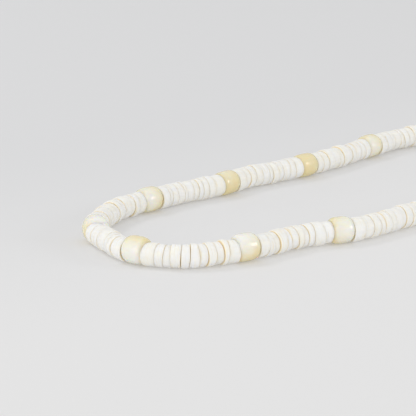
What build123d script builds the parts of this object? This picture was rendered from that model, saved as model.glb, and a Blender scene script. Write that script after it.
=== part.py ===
import os
from math import atan2, cos, pi, radians, sin, tan

from build123d import *

# Necklace of white shell discs, with a mother-of-pearl bead between each two runs of discs.
# It lies fastened on a flat surface as one loop. Millimetres, +Z up, the surface at z = 0.

# White shell discs
disc_diameter = 5.0
disc_thickness = 1.42
disc_rim_radius = 0.28
disc_bore = 1.1

# Mother-of-pearl beads, rounded barrels. The flat ends, before their rounding, are given as
# a share of the bead's diameter.
pearl_diameter = 5.75
pearl_length = 5.65
pearl_end_share = 0.78
pearl_shoulder_radius = 1.35
pearl_bore = 1.2
pearl_count = 16

# Thread, the gap between neighbours on it, and how far below the axis of the widest
# bead it runs, as a share of its play in the bores
thread_diameter = 0.45
bead_gap = 0.12
thread_drop_share = 0.6

# Barrel clasp, with a blind bore in each end for the thread and a groove where it screws shut
clasp_length = 10.0
clasp_end_diameter = 3.8
clasp_end_rounding = 0.6
clasp_groove_width = 0.5
clasp_groove_depth = 0.25
clasp_bore_depth = 3.0
clasp_bore_clearance = 0.05
thread_end_gap = 0.4

# Discs in each run. One run of the front and the two runs beside the bead at the narrow
# end of the loop differ.
discs_in_runs = [11, 11, 11, 11, 11, 12, 11, 11, 8, 12, 11, 11, 11, 11, 11, 11, 11]

# How single discs, runs and beads differ, as shares of the sizes above. Each list repeats
# along the string, and the different lengths keep the pattern from repeating soon.
disc_diameter_shares = [1.0, 1.02, 0.985, 1.01, 0.97, 1.0, 1.03, 0.99, 0.975, 1.015, 1.0, 0.98, 1.02]
disc_thickness_shares = [0.95, 1.05, 1.0, 1.12, 0.9, 1.0, 0.86, 1.06, 1.15, 0.92, 0.99]
run_thickness_shares = [0.96, 1.0, 0.96, 0.99, 0.95, 1.06, 0.99, 0.86, 0.91]
run_thickness_shares += [1.04, 0.9, 1.03, 1.05, 1.02, 1.0, 1.04, 1.04]
pearl_diameter_shares = [1.0, 0.985, 1.01, 0.975, 1.0, 0.99, 1.015, 1.015]
pearl_diameter_shares += [1.0, 0.97, 0.93, 0.93, 0.96, 1.0, 0.985, 1.01]
pearl_length_shares = [1.0, 0.97, 1.02, 0.99, 1.0, 0.96, 1.01]

# Degrees by which they lean off the thread's direction: turned sideways, or tipped
disc_turns = [0.5, 1.5, 2.5, -2.0, -1.5, -0.5, 3.0, 2.0, 1.0, -1.0, -3.0, -2.0, -1.0, 2.0, 0.0, -1.5, 1.0]
disc_tips = [0.0, 1.0, 1.5, -1.0, -2.0, -0.5, 0.5]
pearl_turns = [0.0, 1.0, -0.5, -1.0, 0.5]

# Plan of the loop: x, y and the radius of the bend at each point. It starts and ends in
# the clasp on the far end, and the far end moves out with the length of the beads.
route_points = [
    (2.0, -19.6, 120.0),
    (-39.8, -22.5, 20.0),
    (-50.5, -18.2, 18.0),
    (-65.5, -18.4, 22.0),
    (-79.1, -15.3, 12.0),
    (-85.3, -4.4, 12.0),
    (-80.8, 13.6, 15.0),
    (-67.7, 23.1, 28.0),
    (-45.8, 24.8, 21.0),
    (-37.1, 23.7, 20.0),
    (-26.7, 25.3, 35.0),
    (-9.4, 23.8, 93.0),
    (21.0, 29.2, 60.0),
]
far_end_low = -23.0
far_end_high = 27.0
clasp_side = -2.65

# Sizes that follow from the ones above
largest_radius = max(
    pearl_diameter * max(pearl_diameter_shares) / 2,
    disc_diameter * max(disc_diameter_shares) / 2,
)
thread_drop = (min(disc_bore, pearl_bore) - thread_diameter) / 2 * thread_drop_share
thread_height = largest_radius - thread_drop
thread_in_clasp = clasp_bore_depth - thread_end_gap
clasp_diameter = 2 * thread_height
clasp_bore = thread_diameter + 2 * clasp_bore_clearance
far_end_room = clasp_side - clasp_length / 2 - bead_gap - far_end_low


def pick(values, number):
    """The value for this copy, from a list that repeats."""
    return values[number % len(values)]


def list_beads():
    """Each disc and bead in its order along the thread, with its own sizes and lean. Its
    reach is the radius of the flat face that it turns to a neighbour."""
    beads = []
    number = 0
    for run in range(pearl_count + 1):
        run_thickness = disc_thickness * pick(run_thickness_shares, run)
        for _ in range(pick(discs_in_runs, run)):
            radius = disc_diameter * pick(disc_diameter_shares, number) / 2
            beads.append(
                {
                    "node": f"disc_run_{run + 1:02d}",
                    "radius": radius,
                    "length": run_thickness * pick(disc_thickness_shares, number + run),
                    "rounding": disc_rim_radius,
                    "reach": radius - disc_rim_radius,
                    "turn": pick(disc_turns, number),
                    "tip": pick(disc_tips, number),
                }
            )
            number += 1
        if run < pearl_count:
            radius = pearl_diameter * pick(pearl_diameter_shares, run) / 2
            beads.append(
                {
                    "node": f"pearl_bead_{run + 1:02d}",
                    "radius": radius,
                    "length": pearl_length * pick(pearl_length_shares, run),
                    "rounding": pearl_shoulder_radius,
                    "reach": radius * pearl_end_share - pearl_shoulder_radius / 4,
                    "turn": pick(pearl_turns, run),
                    "tip": 0.0,
                }
            )
    return beads


def far_end_radius(far_end):
    """Radius of the bends beside the clasp, so that the thread enters it straight."""
    x, y, _ = route_points[0]
    turn = pi / 2 + atan2(y - far_end_low, far_end - x)
    return far_end_room / tan(turn / 2)


def draw_route(far_end):
    """The thread's line, straight runs joined by tangent arcs, from its start in one end
    of the clasp round to its end in the other."""
    bend = far_end_radius(far_end)
    corners = [(far_end, far_end_low, bend)]
    corners += route_points
    corners += [(far_end, far_end_high, bend)]
    start = clasp_length / 2 - thread_in_clasp
    points = [(far_end, clasp_side - start)]
    points += [(x, y) for x, y, radius in corners]
    points += [(far_end, clasp_side + start)]
    return FilletPolyline(*points, radius=[radius for x, y, radius in corners])


def seat_bead(route, bead, along):
    """Centre and axis of a bead at this distance along the route. It follows the chord
    of its own bore, and hangs on the thread if it is too small to touch the surface."""
    half = bead["length"] / 2
    middle = route.position_at(along, position_mode=PositionMode.LENGTH)
    before = route.position_at(along - half, position_mode=PositionMode.LENGTH)
    after = route.position_at(along + half, position_mode=PositionMode.LENGTH)
    centre = (middle + (before + after) / 2) / 2
    heading = (after - before).normalized().rotate(Axis.Z, bead["turn"])
    tip = radians(bead["tip"])
    axis = Vector(heading.X * cos(tip), heading.Y * cos(tip), sin(tip))
    rounding = bead["rounding"]
    lowest = (bead["radius"] - rounding) * cos(tip) + (half - rounding) * abs(sin(tip)) + rounding
    return Vector(centre.X, centre.Y, max(lowest, thread_height - thread_drop)), axis


def string_beads(route, beads):
    """Seats of all beads, each past the one before by the gap and the room that its lean
    takes, and the length of thread that they and the clasp need."""
    seats = []
    filled = thread_in_clasp
    clasp_axis = Vector(0, -1, 0)
    clasp_reach = clasp_end_diameter / 2
    last_axis, last_reach = clasp_axis, clasp_reach
    for bead in beads:
        half = bead["length"] / 2
        room = 0.0
        for _ in range(3):
            centre, axis = seat_bead(route, bead, filled + bead_gap + room + half)
            room = min(bead["reach"], last_reach) * radians(axis.get_angle(last_axis))
        filled += bead_gap + room + 2 * half
        seats.append((centre, axis))
        last_axis, last_reach = axis, bead["reach"]
    room = min(clasp_reach, last_reach) * radians(last_axis.get_angle(clasp_axis))
    return seats, filled + bead_gap + room + thread_in_clasp


def make_disc(bead):
    """A drilled disc about the Z axis, with its outer edges rounded."""
    inner = disc_bore / 2
    section = Rectangle(bead["radius"] - inner, bead["length"])
    section = Plane.XZ * Pos((inner + bead["radius"]) / 2, 0) * section
    section = fillet(section.vertices().group_by(Axis.X)[-1], bead["rounding"])
    return revolve(section, Axis.Z)


def barrel_section(inner, end, radius, half, rounding):
    """Half section of a barrel about the Z axis: an arched side between flat ends, with
    its shoulders rounded."""
    side = ThreePointArc((end, -half), (radius, 0), (end, half))
    ends = Polyline((end, half), (inner, half), (inner, -half), (end, -half))
    section = Plane.XZ * make_face(side + ends)
    return fillet(section.vertices().group_by(Axis.X)[-1], rounding)


def make_pearl(bead):
    """A drilled barrel with round shoulders."""
    end = bead["radius"] * pearl_end_share
    section = barrel_section(pearl_bore / 2, end, bead["radius"], bead["length"] / 2, bead["rounding"])
    return revolve(section, Axis.Z)


def make_clasp():
    """A barrel with a groove round its middle and a blind bore in each end."""
    half = clasp_length / 2
    section = barrel_section(0, clasp_end_diameter / 2, clasp_diameter / 2, half, clasp_end_rounding)
    groove = Cylinder(clasp_diameter, clasp_groove_width)
    groove -= Cylinder(clasp_diameter / 2 - clasp_groove_depth, clasp_groove_width)
    bore = Cylinder(clasp_bore / 2, clasp_bore_depth)
    bore_middle = half - clasp_bore_depth / 2
    bores = Pos(0, 0, bore_middle) * bore + Pos(0, 0, -bore_middle) * bore
    return revolve(section, Axis.Z) - groove - bores


# The far end starts well out, and moves until the thread is as long as the beads and the
# clasp need
beads = list_beads()
far_end = sum(bead["length"] for bead in beads) / 2
for _ in range(5):
    route = draw_route(far_end)
    seats, needed = string_beads(route, beads)
    far_end += (needed - route.length) / 2

thread_line = Pos(0, 0, thread_height) * route
thread_section = Plane(origin=thread_line @ 0, z_dir=thread_line % 0) * Circle(thread_diameter / 2)
thread = sweep(thread_section, path=thread_line)
clasp_plane = Plane(origin=(thread_line @ 0 + thread_line @ 1) / 2, z_dir=(0, 1, 0))
nodes = {"thread": [thread], "clasp": [clasp_plane * make_clasp()]}
for bead, (centre, axis) in zip(beads, seats):
    solid = make_pearl(bead) if bead["node"].startswith("pearl") else make_disc(bead)
    nodes.setdefault(bead["node"], []).append(Plane(origin=centre, z_dir=axis) * solid)

# The origin is under the middle of the whole loop
box = Compound([solid for solids in nodes.values() for solid in solids]).bounding_box()
to_origin = Pos(-box.center().X, -box.center().Y, 0)
os.makedirs("parts", exist_ok=True)
for name, solids in nodes.items():
    export_step(Compound([to_origin * solid for solid in solids]), f"parts/{name}.step")

section_area = pi * thread_diameter**2 / 4
loop_length = route.length + 2 * (clasp_length / 2 - thread_in_clasp)
print(f"loop {loop_length:.1f} mm, far end at {far_end:.2f}, radius there {far_end_radius(far_end):.2f}")
print(f"thread volume {thread.volume:.2f}, section times length {section_area * route.length:.2f}")
print(f"overall {box.size.X:.1f} x {box.size.Y:.1f} x {box.size.Z:.1f} mm")
print(f"origin at {box.center().X:.3f}, {box.center().Y:.3f} of the plan")
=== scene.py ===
# Shell necklace: runs of white heishi discs with a mother-of-pearl bead between each two,
# lying fastened on a pale surface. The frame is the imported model's, in metres. Sizes in the
# dictionaries are in mm where they don't say otherwise.
from math import pi, radians

import bpy
import numpy as np
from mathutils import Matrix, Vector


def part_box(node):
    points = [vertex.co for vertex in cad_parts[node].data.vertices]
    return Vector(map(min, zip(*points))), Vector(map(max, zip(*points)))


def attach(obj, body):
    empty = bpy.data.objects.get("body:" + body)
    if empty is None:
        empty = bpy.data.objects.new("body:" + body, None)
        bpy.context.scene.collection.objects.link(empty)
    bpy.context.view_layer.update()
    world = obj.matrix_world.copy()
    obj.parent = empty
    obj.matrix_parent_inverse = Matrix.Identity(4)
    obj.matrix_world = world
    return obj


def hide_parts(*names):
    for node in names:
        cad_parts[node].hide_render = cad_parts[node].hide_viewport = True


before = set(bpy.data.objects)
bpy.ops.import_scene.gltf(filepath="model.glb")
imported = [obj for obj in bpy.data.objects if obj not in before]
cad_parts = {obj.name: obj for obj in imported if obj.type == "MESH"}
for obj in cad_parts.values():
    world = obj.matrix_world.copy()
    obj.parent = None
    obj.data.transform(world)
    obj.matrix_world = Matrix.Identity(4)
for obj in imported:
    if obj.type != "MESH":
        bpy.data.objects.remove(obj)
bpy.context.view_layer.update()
mm = 0.001
up = np.array([0.0, 0.0, 1.0])
noiseReach = 100.0  # mm, how far apart in the noise two beads may lie
scene = bpy.context.scene
scene.view_settings.view_transform = "Standard"
print("frame loaded,", len(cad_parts), "nodes")


# Camera, as in the photograph: a long lens from the front left, looking a little down
camera = {
    "place": (-378.8, -365.5, 134.7),
    "heading": 49.0,  # degrees from +X towards +Y
    "pitch": 15.0,  # degrees down
    "lens": 207.7,
    "sensor": 36.0,
    "shiftUp": 0.0031,  # share of the picture's width
    "sees": (0.01, 20.0),  # metres, nearest and farthest
}


def makeCamera(sizes):
    lens = bpy.data.cameras.new("camera")
    lens.lens = sizes["lens"]
    lens.sensor_width = sizes["sensor"]
    lens.shift_y = sizes["shiftUp"]
    lens.clip_start, lens.clip_end = sizes["sees"]
    piece = bpy.data.objects.new("camera", lens)
    piece.location = np.array(sizes["place"]) * mm
    piece.rotation_euler = (radians(90 - sizes["pitch"]), 0, radians(sizes["heading"] - 90))
    scene.collection.objects.link(piece)
    scene.camera = piece


# Three directions of the picture: to its right, up in it and towards the camera
def pictureAxes(sizes):
    heading, pitch = radians(sizes["heading"]), radians(sizes["pitch"])
    level = np.array([np.cos(heading), np.sin(heading), 0])
    towards = np.sin(pitch) * up - np.cos(pitch) * level
    rightward = np.array([level[1], -level[0], 0])
    return np.array([rightward, np.cross(towards, rightward), towards])


makeCamera(camera)
print("camera placed")


# Helpers for shapes, the first of them vectors divided by their own length
def unit(vectors):
    return vectors / np.linalg.norm(vectors, axis=-1, keepdims=True)


# Equal steps of one turn, the last one short of the first
def turnSteps(columns):
    return np.linspace(0, 2 * pi, columns, endpoint=False)


# Directions round an axis, by t: cos t first + sin t second
def ringRound(t, first, second):
    return np.cos(t)[:, None] * first[..., None, :] + np.sin(t)[:, None] * second[..., None, :]


# Sums of a few waves round the axis, each row its own, from 0 to 1. Weights add up to 1.
def wavesRound(t, rows, weights, rng):
    return sum(
        (1 + np.cos(count * t + rng.uniform(0, 2 * pi, (rows, 1)))) / 2 * weight
        for count, weight in weights.items()
    )


# Smoothing draws a ring in to (2 + cos(360 / columns)) / 3 of its radius, so its control
# points lie out by as much.
def beforeSmoothing(r, columns):
    return r * 3 / (2 + np.cos(2 * pi / columns))


# Quads over grids of points, copies x rows x columns. The columns close round. The rows
# close too, or end in a cap. A grid that is inside out has a negative volume, and is turned.
# Values are attributes, a number or a vector at each point.
def gridMesh(name, points, rowsClose, values=None):
    copies, rows, columns = points.shape[:3]
    index = np.arange(copies * rows * columns).reshape(copies, rows, columns)
    here = index if rowsClose else index[:, :-1]
    below = np.roll(index, -1, 1) if rowsClose else index[:, 1:]
    quads = np.stack([here, below, np.roll(below, -1, 2), np.roll(here, -1, 2)], -1)
    quads = quads.reshape(-1, 4)
    flat = points.reshape(-1, 3)
    middle = np.repeat(points.mean((1, 2)), rows * columns, axis=0)
    a, b, c, d = (flat[quads[:, k]] - middle[quads[:, 0]] for k in range(4))
    insideOut = (np.cross(a, b) * c + np.cross(a, c) * d).sum() < 0
    caps = [] if rowsClose else list(index[:, 0, ::-1]) + list(index[:, -1])
    faces = quads.tolist() + [cap.tolist() for cap in caps]
    if insideOut:
        faces = [face[::-1] for face in faces]
    mesh = bpy.data.meshes.new(name)
    mesh.from_pydata(flat, [], faces)
    mesh.shade_smooth()
    for label, numbers in (values or {}).items():
        isVector = numbers.ndim == 4
        kind = "FLOAT_VECTOR" if isVector else "FLOAT"
        layer = mesh.attributes.new(label, kind, "POINT")
        layer.data.foreach_set("vector" if isVector else "value", numbers.ravel())
    return mesh


# One piece of the necklace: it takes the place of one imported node, in one slot
def addPiece(name, mesh, material, node, smoothing=0):
    piece = bpy.data.objects.new(name, mesh)
    scene.collection.objects.link(piece)
    mesh.materials.append(material)
    if smoothing:
        finer = piece.modifiers.new("smoothing", "SUBSURF")
        finer.levels = smoothing
        finer.render_levels = smoothing
    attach(piece, "root")
    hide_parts(node)


# Helpers for materials. sRGB hex to linear: v / 12.92 up to 0.04045, then
# ((v + 0.055) / 1.055) ^ 2.4
def colour(hexCode):
    values = np.array([int(hexCode[k:k + 2], 16) for k in (1, 3, 5)]) / 255
    linear = np.where(values <= 0.04045, values / 12.92, ((values + 0.055) / 1.055) ** 2.4)
    return (*linear, 1.0)


# One node with its settings, its inputs as values or links, and a ramp's stops
def addNode(material, kind, inputs=None, stops=None, **settings):
    node = material.node_tree.nodes.new(kind)
    for name, value in settings.items():
        setattr(node, name, value)
    for name, value in (inputs or {}).items():
        if isinstance(value, bpy.types.NodeSocket):
            material.node_tree.links.new(value, node.inputs[name])
        else:
            node.inputs[name].default_value = value
    for number, (place, hexCode) in enumerate(stops or []):
        elements = node.color_ramp.elements
        element = elements[number] if number < 2 else elements.new(place)
        element.position = place
        element.color = colour(hexCode)
    return node


# An empty material, and one that ends in a shaded surface
def newMaterial(name):
    material = bpy.data.materials.new(name)
    material.use_nodes = True
    material.node_tree.nodes.clear()
    return material


def finishMaterial(material, inputs):
    surface = addNode(material, "ShaderNodeBsdfPrincipled", inputs)
    addNode(material, "ShaderNodeOutputMaterial", {"Surface": surface.outputs[0]})
    return material


# Where the beads sit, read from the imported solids. Corners in one place are one point.
# Each point takes the lowest number among those that its triangles join, over and over,
# until every loose solid has one number.
def looseSolids(node):
    onePlace = 0.001 * mm
    mesh = node.data
    corners = np.empty(len(mesh.vertices) * 3, np.float32)
    mesh.vertices.foreach_get("co", corners)
    corners = corners.reshape(-1, 3).astype(float)
    places, point = np.unique(np.round(corners / onePlace), axis=0, return_inverse=True)
    point = point.ravel()
    mesh.calc_loop_triangles()
    triangles = np.empty(len(mesh.loop_triangles) * 3, np.int32)
    mesh.loop_triangles.foreach_get("vertices", triangles)
    triangles = triangles.reshape(-1, 3)
    joined = point[triangles]
    number = np.arange(len(places))
    while True:
        lowest = number.copy()
        np.minimum.at(lowest, joined.ravel(), np.repeat(number[joined].min(1), 3))
        lowest = lowest[lowest]
        if (lowest == number).all():
            break
        number = lowest
    own = number[joined[:, 0]]
    return [corners[triangles[own == value]] for value in np.unique(own)]


# A turned solid's seat: its centre is the middle of its surface. Its normals spread
# evenly round the axis, so the axis is the one direction whose spread has no twin.
def seatOf(triangles):
    tiny = 1e-18  # square metres, so that no triangle divides by nothing
    crossed = np.cross(triangles[:, 1] - triangles[:, 0], triangles[:, 2] - triangles[:, 0])
    area = np.linalg.norm(crossed, axis=1) / 2 + tiny
    centre = (triangles.mean(1) * area[:, None]).sum(0) / area.sum()
    normal = crossed / (2 * area[:, None])
    spread, directions = np.linalg.eigh((normal * area[:, None]).T @ normal)
    lone = 0 if spread[1] - spread[0] > spread[2] - spread[1] else 2
    axis = directions[:, lone]
    arm = triangles.reshape(-1, 3) - centre
    along = arm @ axis
    out = np.linalg.norm(arm - along[:, None] * axis, axis=1)
    return {"centre": centre, "axis": axis, "radius": out.max(), "half": np.abs(along).max()}


# The seats of one node in their order along the string, axes pointing along it
def sortSeats(found, before, after):
    chord = unit(after - before)
    found.sort(key=lambda seat: seat["centre"] @ chord)
    for seat in found:
        if seat["axis"] @ chord < 0:
            seat["axis"] = -seat["axis"]


# Seats as arrays: centre, axis, upward and sideways directions, radius, half length
def seatArrays(found):
    centre = np.array([seat["centre"] for seat in found])
    axis = np.array([seat["axis"] for seat in found])
    upward = unit(up - (axis @ up)[:, None] * axis)
    sideways = np.cross(axis, upward)
    radius = np.array([seat["radius"] for seat in found])
    half = np.array([seat["half"] for seat in found])
    return centre, axis, upward, sideways, radius, half


# The string starts and ends in the clasp, with a run of discs before and after each bead
runNodes = sorted(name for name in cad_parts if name.startswith("disc_run"))
beadNodes = sorted(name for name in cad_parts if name.startswith("pearl_bead"))
seats = {
    name: [seatOf(triangles) for triangles in looseSolids(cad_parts[name])]
    for name in [*runNodes, *beadNodes, "clasp"]
}
claspSeat = seats["clasp"][0]
larger = [claspSeat] + [seats[node][0] for node in beadNodes] + [claspSeat]
stops = [seat["centre"] for seat in larger]
string = []
for k, node in enumerate(runNodes):
    sortSeats(seats[node], stops[k], stops[k + 1])
    string += seats[node]
    if k < len(beadNodes):
        sortSeats(seats[beadNodes[k]], stops[k], stops[k + 2])
        string += seats[beadNodes[k]]
sortSeats(seats["clasp"], stops[-2], stops[1])
print("seats read,", len(string), "beads on the string")


# Mother-of-pearl beads. Each is cut across the layers of its shell in its own direction:
# paleLayerAndHighlight is the way that its pale layer faces, mostly towards the camera and the
# light, so that its pale middle is partly a painted highlight and its golden rim partly painted
# sheen, and gold moves it all towards the golden layers.
pearl = {
    "rows": 12,
    "columns": 20,
    "smoothing": 2,
    "bore": 0.6,  # radius
    # power of the section, 2 is an ellipse
    "square": {6: 3.5, 7: 3.4, 8: 3.3, 9: 3.4, 10: 3.4, 11: 4.4, 12: 4.0, 13: 3.6},
    "anySquare": 3.6,
    "unround": 0.02,  # share of the radius that the side wanders in
    "waves": {2: 0.5, 3: 0.5},  # number of waves round the axis: weight
    "contrast": 0.55,  # layers cut from the middle of a bead to its side, and with them the painted highlight and sheen
    "endGoldSheen": 0.55,  # and towards its ends: a painted golden sheen where the surface turns away
    "endPower": 4,  # a higher one keeps that gold nearer to the ends
    "seed": 21,
    # to the picture's right, up and towards the camera
    "paleLayerAndHighlight": {
        6: (0.6, 0.0, 0.6),
        7: (-0.25, 0.6, 0.65),
        8: (-0.45, -0.45, 0.75),
        9: (0.85, 0.25, 0.35),
        10: (0.0, 0.15, 0.95),
        11: (0.15, 0.6, 0.6),
        12: (0.4, 0.3, 0.7),
        13: (0.25, -0.1, 0.9),
    },
    "gold": {6: 0.1, 7: 0.08, 8: 0.1, 9: -0.3, 10: 0.2, 11: 0.58, 12: 0.72, 13: 0.26},
    "anyGold": (-0.05, 0.25),
    # from the golden layers at a depth of 0 to the silvery ones at 1
    "layers": [
        (0.0, "#EBDBAC"),
        (0.25, "#EDDEB4"),
        (0.45, "#F0E5C6"),
        (0.6, "#F1EBD7"),
        (0.78, "#F3EFE2"),
        (1.0, "#F5F3EC"),
    ],
    "cloudSize": 2.5,
    "layerWave": 0.22,  # depth that the layers wave by, at the most
    "bands": 70.0,  # radians for a depth of 1
    "bandLift": 0.02,  # depth that each band lifts or lowers the colour by
}


# Nacre of a golden-lipped shell, turned and polished: thin layers from silvery white to
# honey gold that the round cut lays open in bands, under a deep wet-looking gloss. The
# colour also holds a painted highlight and painted golden sheen from the bead's depth.
def polishedNacre(sizes):
    material = newMaterial("polishedNacre")
    place = addNode(material, "ShaderNodeAttribute", attribute_name="nacrePlace")
    # depth in the layers, with a painted highlight and painted golden sheen in it
    depthAndSheen = addNode(material, "ShaderNodeAttribute", attribute_name="nacreDepthAndSheen")
    clouds = addNode(
        material,
        "ShaderNodeTexNoise",
        {
            "Vector": place.outputs["Vector"],
            "Scale": 1 / sizes["cloudSize"],
            "Detail": 4.0,
            "Roughness": 0.55,
            "Distortion": 0.6,
        },
    )
    # the layer that lies open here: how deep the round cut goes, wavy by about 0.5 mm; the depth
    # carries a painted highlight and painted golden sheen too
    wave = addNode(
        material,
        "ShaderNodeMapRange",
        {
            "Value": clouds.outputs["Fac"],
            "To Min": -sizes["layerWave"],
            "To Max": sizes["layerWave"],
        },
    )
    layer = addNode(
        material,
        "ShaderNodeMath",
        {0: depthAndSheen.outputs["Fac"], 1: wave.outputs[0]},
        operation="ADD",
    )
    # the edges of single layers, about 0.5 mm apart, coarser than real ones so that they show
    phase = addNode(
        material,
        "ShaderNodeMath",
        {0: layer.outputs[0], 1: sizes["bands"]},
        operation="MULTIPLY",
    )
    band = addNode(material, "ShaderNodeMath", {0: phase.outputs[0]}, operation="SINE")
    lift = addNode(
        material,
        "ShaderNodeMapRange",
        {
            "Value": band.outputs[0],
            "From Min": -1.0,
            "To Min": -sizes["bandLift"],
            "To Max": sizes["bandLift"],
        },
    )
    banded = addNode(
        material,
        "ShaderNodeMath",
        {0: layer.outputs[0], 1: lift.outputs[0]},
        operation="ADD",
    )
    body = addNode(material, "ShaderNodeValToRGB", {"Fac": banded.outputs[0]}, sizes["layers"])
    bump = addNode(
        material,
        "ShaderNodeBump",
        {"Height": clouds.outputs["Fac"], "Strength": 0.2, "Distance": 0.1 * mm},
    )
    return finishMaterial(
        material,
        {
            "Base Color": body.outputs[0],
            "Roughness": 0.24,
            "IOR": 1.6,
            "Normal": bump.outputs[0],
            "Subsurface Weight": 0.9,
            "Subsurface Radius": (1.0, 0.85, 0.6),
            "Subsurface Scale": 2.2 * mm,
            "Coat Weight": 0.4,
            "Coat Roughness": 0.12,
            "Thin Film Thickness": 430.0,
            "Thin Film IOR": 1.55,
        },
    )


# A drilled barrel. Its section by s is r = R cos(s)^(2/p) and h = H sin(s)^(2/p), from bore
# to bore, and goes round the axis by t: centre + h axis + r e(t), e = cos t upward + sin t
# sideways. Its depth in the layers is 0.5 - gold + contrast (place . paleLayerAndHighlight) / R
# - endGoldSheen (h / H)^endPower. The pale term is partly a painted highlight and painted
# sheen, and the end term is a painted golden sheen.
def pearlBead(seat, paleLayerAndHighlight, gold, sizes, rng):
    centre, axis, upward, sideways, radius, half = seatArrays([seat])
    power = seat["power"]
    last = np.arccos((sizes["bore"] * mm / radius[0]) ** (power / 2))
    s = np.linspace(-last, last, sizes["rows"])
    outer = radius[0] * np.cos(s) ** (2 / power)
    height = half[0] * np.sign(s) * np.abs(np.sin(s)) ** (2 / power)
    t = turnSteps(sizes["columns"])
    wander = 1 - wavesRound(t, 1, sizes["waves"], rng)
    r = outer[:, None] * (1 - sizes["unround"] * wander)
    r = beforeSmoothing(r, sizes["columns"])
    h = height[:, None] + 0 * r
    points = centre + h[..., None] * axis + r[..., None] * ringRound(t, upward, sideways)
    paleAndHighlightFacing = unit(np.array(paleLayerAndHighlight)) @ pictureAxes(camera)
    # painted highlight and painted sheen: paler where the pale layer faces the camera and the
    # light, golden round the rim
    depthAndSheen = 0.5 - gold + sizes["contrast"] * ((points - centre) @ paleAndHighlightFacing) / radius[0]
    # painted golden sheen towards the ends, where the surface turns away
    depthAndSheen -= sizes["endGoldSheen"] * (h / half[0]) ** sizes["endPower"]
    own = np.stack([r * np.cos(t), r * np.sin(t), h], -1) / mm + rng.uniform(0, noiseReach, 3)
    return points[None], {"nacrePlace": own[None], "nacreDepthAndSheen": depthAndSheen[None]}


nacreMaterial = polishedNacre(pearl)
rng = np.random.default_rng(pearl["seed"])
for number, node in enumerate(beadNodes, 1):
    anyPale, anyGold = rng.normal(0, 1, 3), rng.uniform(*pearl["anyGold"])
    paleLayerAndHighlight = pearl["paleLayerAndHighlight"].get(number, anyPale)
    gold = pearl["gold"].get(number, anyGold)
    seat = seats[node][0]
    seat["power"] = pearl["square"].get(number, pearl["anySquare"])
    name = f"nacreBead{number:02d}"
    points, values = pearlBead(seat, paleLayerAndHighlight, gold, pearl, rng)
    mesh = gridMesh(name, points, True, values)
    addPiece(name, mesh, nacreMaterial, node, pearl["smoothing"])
print("mother-of-pearl beads made")


# White shell discs. Each has its own tone, chips and place in the noise.
disc = {
    "columns": 12,
    "smoothing": 2,
    "bore": 0.55,  # radius
    "wedge": 0.3,  # how far in from the rim the open gaps reach
    "overBead": 0.38,  # a face is cupped by this, at the most, over a bead's rounded edge
    "clearance": 0.05,  # that it keeps from the bead there
    "edge": 0.09,  # how far the rounding reaches in over the face
    "edgeSide": 0.1,  # and down the rim
    "gap": 0.008,  # left between neighbours that touch
    "looseShare": 0.38,  # share of the neighbours whose rims don't touch
    "looseGap": 0.055,  # more between those rims, on average
    # run: share of that gap that it has
    "tight": {9: 0.3, 10: 0.2, 11: 0.4, 12: 0.5, 13: 0.5, 14: 0.5},
    "lean": 2.8,  # degrees that the faces between two neighbours lean off square
    "thin": 0.18,  # these faces are shifted by this as a rule
    "thinMost": 0.324,  # and by this at the most
    "wave": 0.04,  # they are uneven by this
    "faceWaves": {2: 0.4, 3: 0.35, 5: 0.25},  # number of waves round the axis: weight
    "fuller": 0.03,  # share of the radius that the rim stands out before it wanders in
    "unround": (0.02, 0.2),  # least and most share of the radius that it wanders in
    "rimWaves": {1: 0.6, 2: 0.2, 3: 0.12, 5: 0.08},
    "chips": 0.09,  # share of the rim's points that are chipped
    "chipDepth": (0.066, 0.22),
    "seed": 7,
    # run: {disc in it: (mm that the gap before it opens, 1 at its top or -1 at its bottom)}
    "wide": {
        6: {9: (0.5, 1)},
        7: {5: (0.4, -1), 7: (0.35, 1)},
        8: {2: (0.2, 1), 3: (0.3, 1), 4: (0.35, -1), 5: (0.35, -1), 7: (0.25, 1), 8: (0.4, -1)},
        12: {3: (0.35, -1)},
    },
    # growth layers, a few of them brownish
    "layers": [(0.3, "#F0E5D0"), (0.38, "#F5F2EB"), (0.5, "#F7F6F3"), (0.7, "#F9F8F6")],
    "layerStep": 0.2,  # from one to the next
    "layerRun": 4.0,  # how far one goes on across the string
    "cloudsPerMm": 0.45,  # creamy patches of about 2 mm
    "cloudColour": "#F9F2DE",
    # honey tint of the faces: partly staining, partly a painted warm glow of light through the
    # shell in the gaps
    "toneColour": "#F7F3E8",  # the warmest discs are half way to it
    "stainAndGlowColour": "#F5DEAC",
    "stainAndGlow": (1.0, 1.0, 0.25, 0.0),  # share of it at bore, foot of the wedge, edge and rim
    "endStainAndGlow": 0.5,  # share of the stain and painted glow that is left on the faces beside the beads
}
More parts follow.
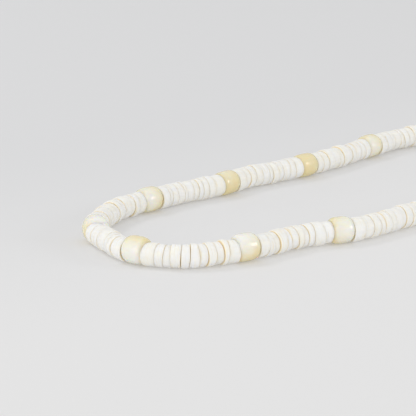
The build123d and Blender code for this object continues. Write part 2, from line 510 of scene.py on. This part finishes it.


# White shell, ground on a string and tumbled: a chalky body with fine growth layers across
# the string, satin rims, and a honey-brown tint on the faces that shows in the gaps: partly
# staining, partly a painted warm glow of light that passes through the shell into the gaps.
def groundShell(sizes):
    material = newMaterial("groundWhiteShell")
    place = addNode(material, "ShaderNodeAttribute", attribute_name="shellPlace")
    tone = addNode(material, "ShaderNodeAttribute", attribute_name="discTone")
    face = addNode(material, "ShaderNodeAttribute", attribute_name="faceStainAndGlow")
    run, step = sizes["layerRun"], sizes["layerStep"]
    flat = addNode(
        material,
        "ShaderNodeVectorMath",
        {0: place.outputs["Vector"], 1: (1 / run, 1 / run, 1 / step)},
        operation="MULTIPLY",
    )
    layers = addNode(
        material,
        "ShaderNodeTexNoise",
        {"Vector": flat.outputs[0], "Scale": 1.0, "Detail": 2.0, "Roughness": 0.5},
    )
    clouds = addNode(
        material,
        "ShaderNodeTexNoise",
        {"Vector": place.outputs["Vector"], "Scale": sizes["cloudsPerMm"], "Detail": 2.0},
    )
    body = addNode(
        material, "ShaderNodeValToRGB", {"Fac": layers.outputs["Fac"]}, sizes["layers"]
    )
    warm = addNode(
        material,
        "ShaderNodeMapRange",
        {"Value": clouds.outputs["Fac"], "From Min": 0.5, "From Max": 0.75, "To Max": 0.5},
    )
    warmed = addNode(
        material,
        "ShaderNodeMix",
        {0: warm.outputs[0], 6: body.outputs[0], 7: colour(sizes["cloudColour"])},
        data_type="RGBA",
    )
    toneShare = addNode(
        material, "ShaderNodeMapRange", {"Value": tone.outputs["Fac"], "To Max": 0.5}
    )
    toned = addNode(
        material,
        "ShaderNodeMix",
        {0: toneShare.outputs[0], 6: warmed.outputs[2], 7: colour(sizes["toneColour"])},
        data_type="RGBA",
    )
    # faces tinted towards the stain colour: partly staining, partly a painted warm glow in the
    # gaps
    stainedAndGlowing = addNode(
        material,
        "ShaderNodeMix",
        {0: face.outputs["Fac"], 6: toned.outputs[2], 7: colour(sizes["stainAndGlowColour"])},
        data_type="RGBA",
    )
    bump = addNode(
        material,
        "ShaderNodeBump",
        {"Height": layers.outputs["Fac"], "Strength": 0.2, "Distance": 0.05 * mm},
    )
    return finishMaterial(
        material,
        {
            "Base Color": stainedAndGlowing.outputs[2],
            "Roughness": 0.55,
            "IOR": 1.53,
            "Normal": bump.outputs[0],
            "Subsurface Weight": 0.7,
            "Subsurface Radius": (1.0, 0.95, 0.85),
            "Subsurface Scale": 0.8 * mm,
        },
    )


# Between two neighbours lies a plane, half way between their faces and square to the middle
# of their two axes. Point and direction of each, one more than there are discs. The first
# and the last plane are the end faces of the beads there.
def facePlanes(found):
    centre, axis, *_, half = seatArrays(found)
    ahead = centre + half[:, None] * axis
    behind = centre - half[:, None] * axis
    points, directions = (ahead[:-1] + behind[1:]) / 2, unit(axis[:-1] + axis[1:])
    points[0], points[-1] = ahead[0], behind[-1]
    directions[0], directions[-1] = axis[0], axis[-1]
    return points, directions


# How far the edge of a bead has come down at the radius r: H (1 - (1 - (r / R)^p)^(1/p)),
# less the clearance and no more than overBead. The clasp's end is flat.
def cupped(bead, r, sizes):
    if "power" not in bead:
        return 0 * r
    inward = np.minimum(r / bead["radius"], 1) ** bead["power"]
    down = bead["half"] * (1 - (1 - inward) ** (1 / bead["power"]))
    return np.clip(down - sizes["clearance"] * mm, 0, sizes["overBead"] * mm)


# A disc's rows: those of one face from the bore out, then those of the other from the rim in
def bothFaces(rows):
    rows = np.asarray(rows)
    return np.concatenate([rows, rows[..., ::-1]], -1)[..., None]


# A drilled disc. Round the axis by t, point = centre + h axis + r e(t), where e = cos t
# upward + sin t sideways and (r, h) runs through bore, foot of the wedge, edge of the face,
# rim, rim, edge, foot and bore. A face lies where its uneven plane (m, n) does:
# h = ((m - centre - r e) . n + wave r / R -+ gap / 2) / (axis . n).
def discRun(found, before, after, wide, tight, sizes, rng):
    centre, axis, upward, sideways, radius = seatArrays(found)[:5]
    count, columns = len(found), sizes["columns"]
    t = turnSteps(columns)
    wander = wavesRound(t, count, sizes["rimWaves"], rng)
    wander = wander * rng.uniform(*sizes["unround"], (count, 1))
    bore, wedge, edge = sizes["bore"] * mm, sizes["wedge"] * mm, sizes["edge"] * mm
    outer = np.stack([0 * radius + bore, radius - wedge, radius - edge, radius], -1)
    r = bothFaces(outer) * (1 + sizes["fuller"] - wander[:, None])
    chipped = (rng.random(r.shape) < sizes["chips"]) * rng.uniform(*sizes["chipDepth"], r.shape)
    r -= chipped * bothFaces([0, 0, 1, 1]) * mm
    r = beforeSmoothing(r, columns)
    arm = r[..., None] * ringRound(t, upward, sideways)[:, None]
    # the planes between the discs are shifted and leaned, and those at the two beads aren't
    points, directions = facePlanes([before] + found + [after])
    free = np.ones(count + 1)
    free[[0, -1]] = 0
    most = sizes["thinMost"]
    shift = np.clip(rng.normal(0, sizes["thin"], count + 1), -most, most) * mm
    points = points + (free * shift)[:, None] * directions
    leaning = rng.normal(0, radians(sizes["lean"]), (count + 1, 3))
    directions = unit(directions + free[:, None] * leaning)
    # the gaps, open from the foot of the wedge to the rim
    loose = free * (rng.random(count + 1) < sizes["looseShare"])
    opened = tight * loose * rng.exponential(sizes["looseGap"], count + 1)
    opened = np.repeat(opened[:, None], columns, 1)
    for place, (opening, atTop) in wide.items():
        opened[place - 1] += opening * (1 + atTop * np.cos(t)) / 2
    gaps = (sizes["gap"] + np.array([[0], [0], [1], [1]]) * opened[:, None]) * mm
    uneven = wavesRound(t, count + 1, sizes["faceWaves"], rng) - 0.5
    uneven *= 2 * free[:, None] * sizes["wave"] * mm
    h = np.empty(r.shape)
    for sign, rows, plane in ((-1, slice(0, 4), slice(0, -1)), (1, slice(4, 8), slice(1, None))):
        m, n = points[plane][:, None, None], directions[plane][:, None, None]
        reach = ((m - centre[:, None, None] - arm[:, rows]) * n).sum(-1)
        reach += uneven[plane][:, None] * r[:, rows] / radius[:, None, None]
        along = (axis[:, None, None] * n).sum(-1)
        h[:, rows] = (reach - sign * gaps[plane][:, ::-sign] / 2) / along
    h[0, :4] -= cupped(before, r[0, :4], sizes)
    h[-1, 4:] += cupped(after, r[-1, 4:], sizes)
    h[:, 3] += sizes["edgeSide"] * mm
    h[:, 4] -= sizes["edgeSide"] * mm
    surface = centre[:, None, None] + h[..., None] * axis[:, None, None] + arm
    own = np.stack([r * np.cos(t) / mm, r * np.sin(t) / mm, h / mm], -1)
    own = own + rng.uniform(0, noiseReach, (count, 1, 1, 3))
    # painted warm glow in the gaps, partly staining: strongest at the bore and the foot of the
    # wedge
    stainAndGlowShare = bothFaces(sizes["stainAndGlow"]) + 0 * r
    stainAndGlowShare[0, :4] *= sizes["endStainAndGlow"]
    stainAndGlowShare[-1, 4:] *= sizes["endStainAndGlow"]
    # squared, so that most of the discs stay white
    tone = rng.random((count, 1, 1)) ** 2 + 0 * r
    return surface, {"shellPlace": own, "faceStainAndGlow": stainAndGlowShare, "discTone": tone}


shellMaterial = groundShell(disc)
rng = np.random.default_rng(disc["seed"])
for number, node in enumerate(runNodes, 1):
    wide, tight = disc["wide"].get(number, {}), disc["tight"].get(number, 1)
    before, after = larger[number - 1], larger[number]
    name = f"shellDiscs{number:02d}"
    points, values = discRun(seats[node], before, after, wide, tight, disc, rng)
    mesh = gridMesh(name, points, True, values)
    addPiece(name, mesh, shellMaterial, node, disc["smoothing"])
print("shell discs made")


# Thread through every bead and disc, with its two ends in the clasp
thread = {
    "radius": 0.225,
    "step": 0.22,  # between rings
    "columns": 12,
    "plies": 3,
    "lay": 1.3,  # for one turn of the plies
    "furrow": 0.16,  # share of the radius, between two plies
    "inClasp": 2.6,  # how much of it is inside each end of the clasp
    "straight": 0.2,  # and goes on straight outside the clasp
    "fibresPerMm": 9.0,
    "fibres": [(0.3, "#CDBE98"), (0.7, "#E9E0C8")],
}


# Waxed twisted polyester thread, off white: three plies that catch a soft light
def waxedThread(sizes):
    material = newMaterial("waxedTwistedThread")
    place = addNode(material, "ShaderNodeTexCoord").outputs["Object"]
    fibres = addNode(
        material,
        "ShaderNodeTexNoise",
        {"Vector": place, "Scale": sizes["fibresPerMm"] / mm, "Detail": 2.0},
    )
    body = addNode(
        material, "ShaderNodeValToRGB", {"Fac": fibres.outputs["Fac"]}, sizes["fibres"]
    )
    bump = addNode(
        material,
        "ShaderNodeBump",
        {"Height": fibres.outputs["Fac"], "Strength": 0.3, "Distance": 0.02 * mm},
    )
    return finishMaterial(
        material,
        {
            "Base Color": body.outputs[0],
            "Roughness": 0.62,
            "Normal": bump.outputs[0],
            "Sheen Weight": 0.2,
        },
    )


# The thread's line: out of one end of the clasp, through the beads' centres and back into
# the other end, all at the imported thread's height
def threadStops(barrel, beads, sizes):
    low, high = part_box("thread")
    inside = barrel["axis"] * (barrel["half"] - sizes["inClasp"] * mm)
    outside = barrel["axis"] * (barrel["half"] + sizes["straight"] * mm)
    line = [barrel["centre"] + inside, barrel["centre"] + outside]
    line += [bead["centre"] for bead in beads]
    line += [barrel["centre"] - outside, barrel["centre"] - inside]
    line = np.array(line)
    line[:, 2] = (low.z + high.z) / 2
    return line


# A line through stops: between two of them, by q from 0 to 1, a cubic with the slopes that
# the neighbours give
def smoothLine(stops, step):
    slope = np.gradient(stops, axis=0)
    span = np.linalg.norm(np.diff(stops, axis=0), axis=1)
    pieces = []
    for k in range(len(stops) - 1):
        q = np.linspace(0, 1, max(2, int(round(span[k] / step))), endpoint=False)[:, None]
        pieces.append(
            (2 * q**3 - 3 * q**2 + 1) * stops[k]
            + (q**3 - 2 * q**2 + q) * slope[k]
            + (3 * q**2 - 2 * q**3) * stops[k + 1]
            + (q**3 - q**2) * slope[k + 1]
        )
    return np.concatenate(pieces + [stops[-1:]])


# Round the line by t, at the length a along it, with one turn of the plies in each lay:
# r = R (1 - furrow + furrow |cos(plies (t - 360 a / lay) / 2)|)
def threadSurface(line, sizes):
    ahead = unit(np.gradient(line, axis=0))
    sideways = unit(np.cross(up, ahead))
    upward = np.cross(ahead, sideways)
    along = np.concatenate([[0], np.cumsum(np.linalg.norm(np.diff(line, axis=0), axis=1))])
    t = turnSteps(sizes["columns"])
    turned = t[None] - 2 * pi * along[:, None] / (sizes["lay"] * mm)
    ridge = np.abs(np.cos(sizes["plies"] * turned / 2))
    r = sizes["radius"] * mm * (1 - sizes["furrow"] + sizes["furrow"] * ridge)
    return (line[:, None] + r[..., None] * ringRound(t, sideways, upward))[None]


threadLine = smoothLine(threadStops(claspSeat, string, thread), thread["step"] * mm)
threadMesh = gridMesh("twistedThread", threadSurface(threadLine, thread), False)
addPiece("twistedThread", threadMesh, waxedThread(thread), "thread")
print("thread made")


# Barrel clasp, in the part of the loop that the photograph doesn't show
clasp = {
    "columns": 144,
    "endRadius": 1.9,
    "boreRadius": 0.275,
    "boreDepth": 3.0,
    "chamfer": 0.1,  # round the bore
    "endRing": 0.4,  # in from the rounding, a ring that keeps the end flat
    "rounding": 0.5,
    "groove": 0.25,  # half width
    "grooveDepth": 0.25,
    # beside the groove: below the barrel
    "shoulder": ((0.001, 0.06), (0.06, 0.02), (0.12, 0.0)),
    "knurls": 48,
    "knurlDepth": 0.07,
    "knurlFrom": 0.75,  # from the middle to each knurled band
    "knurlTo": 2.1,
    "knurlBeside": 0.1,  # from a band to the rings of points beside it
    "plainBeside": 0.3,  # from a band to the first ring of the plain end
    "rings": 12,  # of points, in a band and in the plain end
    "linesPerMm": (0.3, 26.0, 0.3),  # turning lines, as the clasp lies along Y
    "brass": [(0.35, "#D9B565"), (0.65, "#E8C87E")],
}


# Brass, turned on a lathe and polished: warm yellow, sharp reflections with fine turning lines
def polishedBrass(sizes):
    material = newMaterial("polishedBrass")
    place = addNode(material, "ShaderNodeTexCoord").outputs["Object"]
    lathe = addNode(
        material,
        "ShaderNodeVectorMath",
        {0: place, 1: [count / mm for count in sizes["linesPerMm"]]},
        operation="MULTIPLY",
    )
    lines = addNode(
        material, "ShaderNodeTexNoise", {"Vector": lathe.outputs[0], "Scale": 1.0, "Detail": 2.0}
    )
    body = addNode(material, "ShaderNodeValToRGB", {"Fac": lines.outputs["Fac"]}, sizes["brass"])
    rough = addNode(
        material,
        "ShaderNodeMapRange",
        {"Value": lines.outputs["Fac"], "To Min": 0.14, "To Max": 0.3},
    )
    bump = addNode(
        material,
        "ShaderNodeBump",
        {"Height": lines.outputs["Fac"], "Strength": 0.1, "Distance": 0.02 * mm},
    )
    return finishMaterial(
        material,
        {
            "Base Color": body.outputs[0],
            "Metallic": 1.0,
            "Roughness": rough.outputs[0],
            "Normal": bump.outputs[0],
        },
    )


# A turned barrel, r(h) an arc from the end's radius to the full one, with a groove where it
# screws shut, knurled bands, and a bore in each end: r = arc - knurl (1 - cos(knurls t)) / 2.
def claspSurface(seat, sizes):
    centre, axis, upward, sideways, radius, half = seatArrays([seat])
    full, end, length = radius[0] / mm, sizes["endRadius"], half[0] / mm
    # 1 - sin over four equal steps of a quarter turn, and 1 - cos when read backwards
    quarter = np.array([1.0, 0.62, 0.29, 0.08, 0.0])
    soft = sizes["rounding"] * quarter
    groove, bore, chamfer = sizes["groove"], sizes["boreRadius"], sizes["chamfer"]
    beside, below = np.array(sizes["shoulder"]).T
    start, stop, rings = sizes["knurlFrom"], sizes["knurlTo"], sizes["rings"]
    h = np.concatenate(
        [
            [groove],
            groove + beside,
            np.linspace(start - sizes["knurlBeside"], stop + sizes["knurlBeside"], rings),
            np.linspace(stop + sizes["plainBeside"], length - soft[0], rings),
            length - soft[1:],
        ]
    )
    r = end + (full - end) * (1 - (h / length) ** 2)
    r[-5:] -= soft[::-1]
    r[0] = full - sizes["grooveDepth"]
    r[1:4] -= below
    # the flat end, the chamfer and the bore
    h = np.concatenate([h, [length, length, length - chamfer, length - sizes["boreDepth"]]])
    ring = end - sizes["rounding"] - sizes["endRing"]
    r = np.concatenate([r, [ring, bore + chamfer, bore, bore]])
    h = np.concatenate([-h[::-1], h])
    r = np.concatenate([r[::-1], r])
    t = turnSteps(sizes["columns"])
    knurled = (np.abs(h) > start) & (np.abs(h) < stop) & (r > end - sizes["rounding"])
    cut = sizes["knurlDepth"] * (1 - np.cos(sizes["knurls"] * t)) / 2
    r = (r[:, None] - knurled[:, None] * cut) * mm
    points = centre + (h * mm)[:, None, None] * axis
    return (points + r[..., None] * ringRound(t, upward, sideways))[None]


claspMesh = gridMesh("barrelClasp", claspSurface(claspSeat, clasp), False)
addPiece("barrelClasp", claspMesh, polishedBrass(clasp), "clasp")
print("clasp made")


# Floor and light, matched to the greys of the photograph's surface
studio = {
    "floorSize": 8.0,  # metres
    "floorColour": "#BEBFC2",
    "grainPerMm": 0.9,
    "floorGlow": 0.272,  # the board is lit a little from below too
    "glowFades": (-0.05, 0.09),  # metres from the middle
    "fadesTowards": 88.0,  # degrees from +X towards +Y
    "glow": [(0.0, "#FFFCF5"), (1.0, "#DFDDD8")],
    "worldColour": "#FFFFFF",
    "worldStrength": 0.69,
    # name: place and size in metres, watts
    "lights": {
        "windowRight": ((0.7, -1.04, 0.48), 0.42, 2.7),
        "softLeft": ((-1.3, -0.5, 0.4), 1.6, 7.0),
        "softBehind": ((-0.4, 0.6, 0.85), 0.3, 2.0),
    },
    "aim": (-0.03, 0.0, 0.0),  # metres, where they all point
    "noReflection": "softBehind",  # as the photograph has no gloss on the tops of the beads
}


# Opal acrylic board, matted: even pale grey, lit from below as well, so its shadows are faint.
# The light below it fades to the left and away from the camera.
def opalBoard(sizes):
    material = newMaterial("mattedOpalBoard")
    place = addNode(material, "ShaderNodeTexCoord").outputs["Object"]
    grain = addNode(
        material,
        "ShaderNodeTexNoise",
        {"Vector": place, "Scale": sizes["grainPerMm"] / mm, "Detail": 2.0},
    )
    bump = addNode(
        material,
        "ShaderNodeBump",
        {"Height": grain.outputs["Fac"], "Strength": 0.05, "Distance": 0.05 * mm},
    )
    turn = radians(sizes["fadesTowards"])
    away = addNode(
        material,
        "ShaderNodeVectorMath",
        {0: place, 1: (np.cos(turn), np.sin(turn), 0)},
        operation="DOT_PRODUCT",
    )
    near, far = sizes["glowFades"]
    fade = addNode(
        material,
        "ShaderNodeMapRange",
        {"Value": away.outputs["Value"], "From Min": near, "From Max": far},
        interpolation_type="SMOOTHSTEP",
    )
    glow = addNode(material, "ShaderNodeValToRGB", {"Fac": fade.outputs[0]}, sizes["glow"])
    return finishMaterial(
        material,
        {
            "Base Color": colour(sizes["floorColour"]),
            "Roughness": 0.85,
            "Normal": bump.outputs[0],
            "Emission Color": glow.outputs[0],
            "Emission Strength": sizes["floorGlow"],
        },
    )


# One square face with its middle at the origin
def makeFloor(sizes):
    reach = sizes["floorSize"] / 2
    corners = [(-reach, -reach, 0), (reach, -reach, 0), (reach, reach, 0), (-reach, reach, 0)]
    mesh = bpy.data.meshes.new("floor")
    mesh.from_pydata(corners, [], [(0, 1, 2, 3)])
    mesh.materials.append(opalBoard(sizes))
    floor = bpy.data.objects.new("floor", mesh)
    scene.collection.objects.link(floor)


# A white world all round, and three round lamps that point at the aim
def makeLights(sizes):
    world = bpy.data.worlds.new("studio")
    world.use_nodes = True
    background = world.node_tree.nodes["Background"]
    background.inputs["Color"].default_value = colour(sizes["worldColour"])
    background.inputs["Strength"].default_value = sizes["worldStrength"]
    scene.world = world
    for name, (place, size, watts) in sizes["lights"].items():
        lamp = bpy.data.lights.new(name, "AREA")
        lamp.shape = "DISK"
        lamp.size = size
        lamp.energy = watts
        piece = bpy.data.objects.new(name, lamp)
        piece.location = place
        away = unit(np.array(place) - np.array(sizes["aim"]))
        tilt = np.arccos(away[2])
        piece.rotation_euler = (tilt, 0, np.arctan2(away[1], away[0]) + pi / 2)
        piece.visible_glossy = name != sizes["noReflection"]
        scene.collection.objects.link(piece)


makeFloor(studio)
makeLights(studio)
print("studio made")
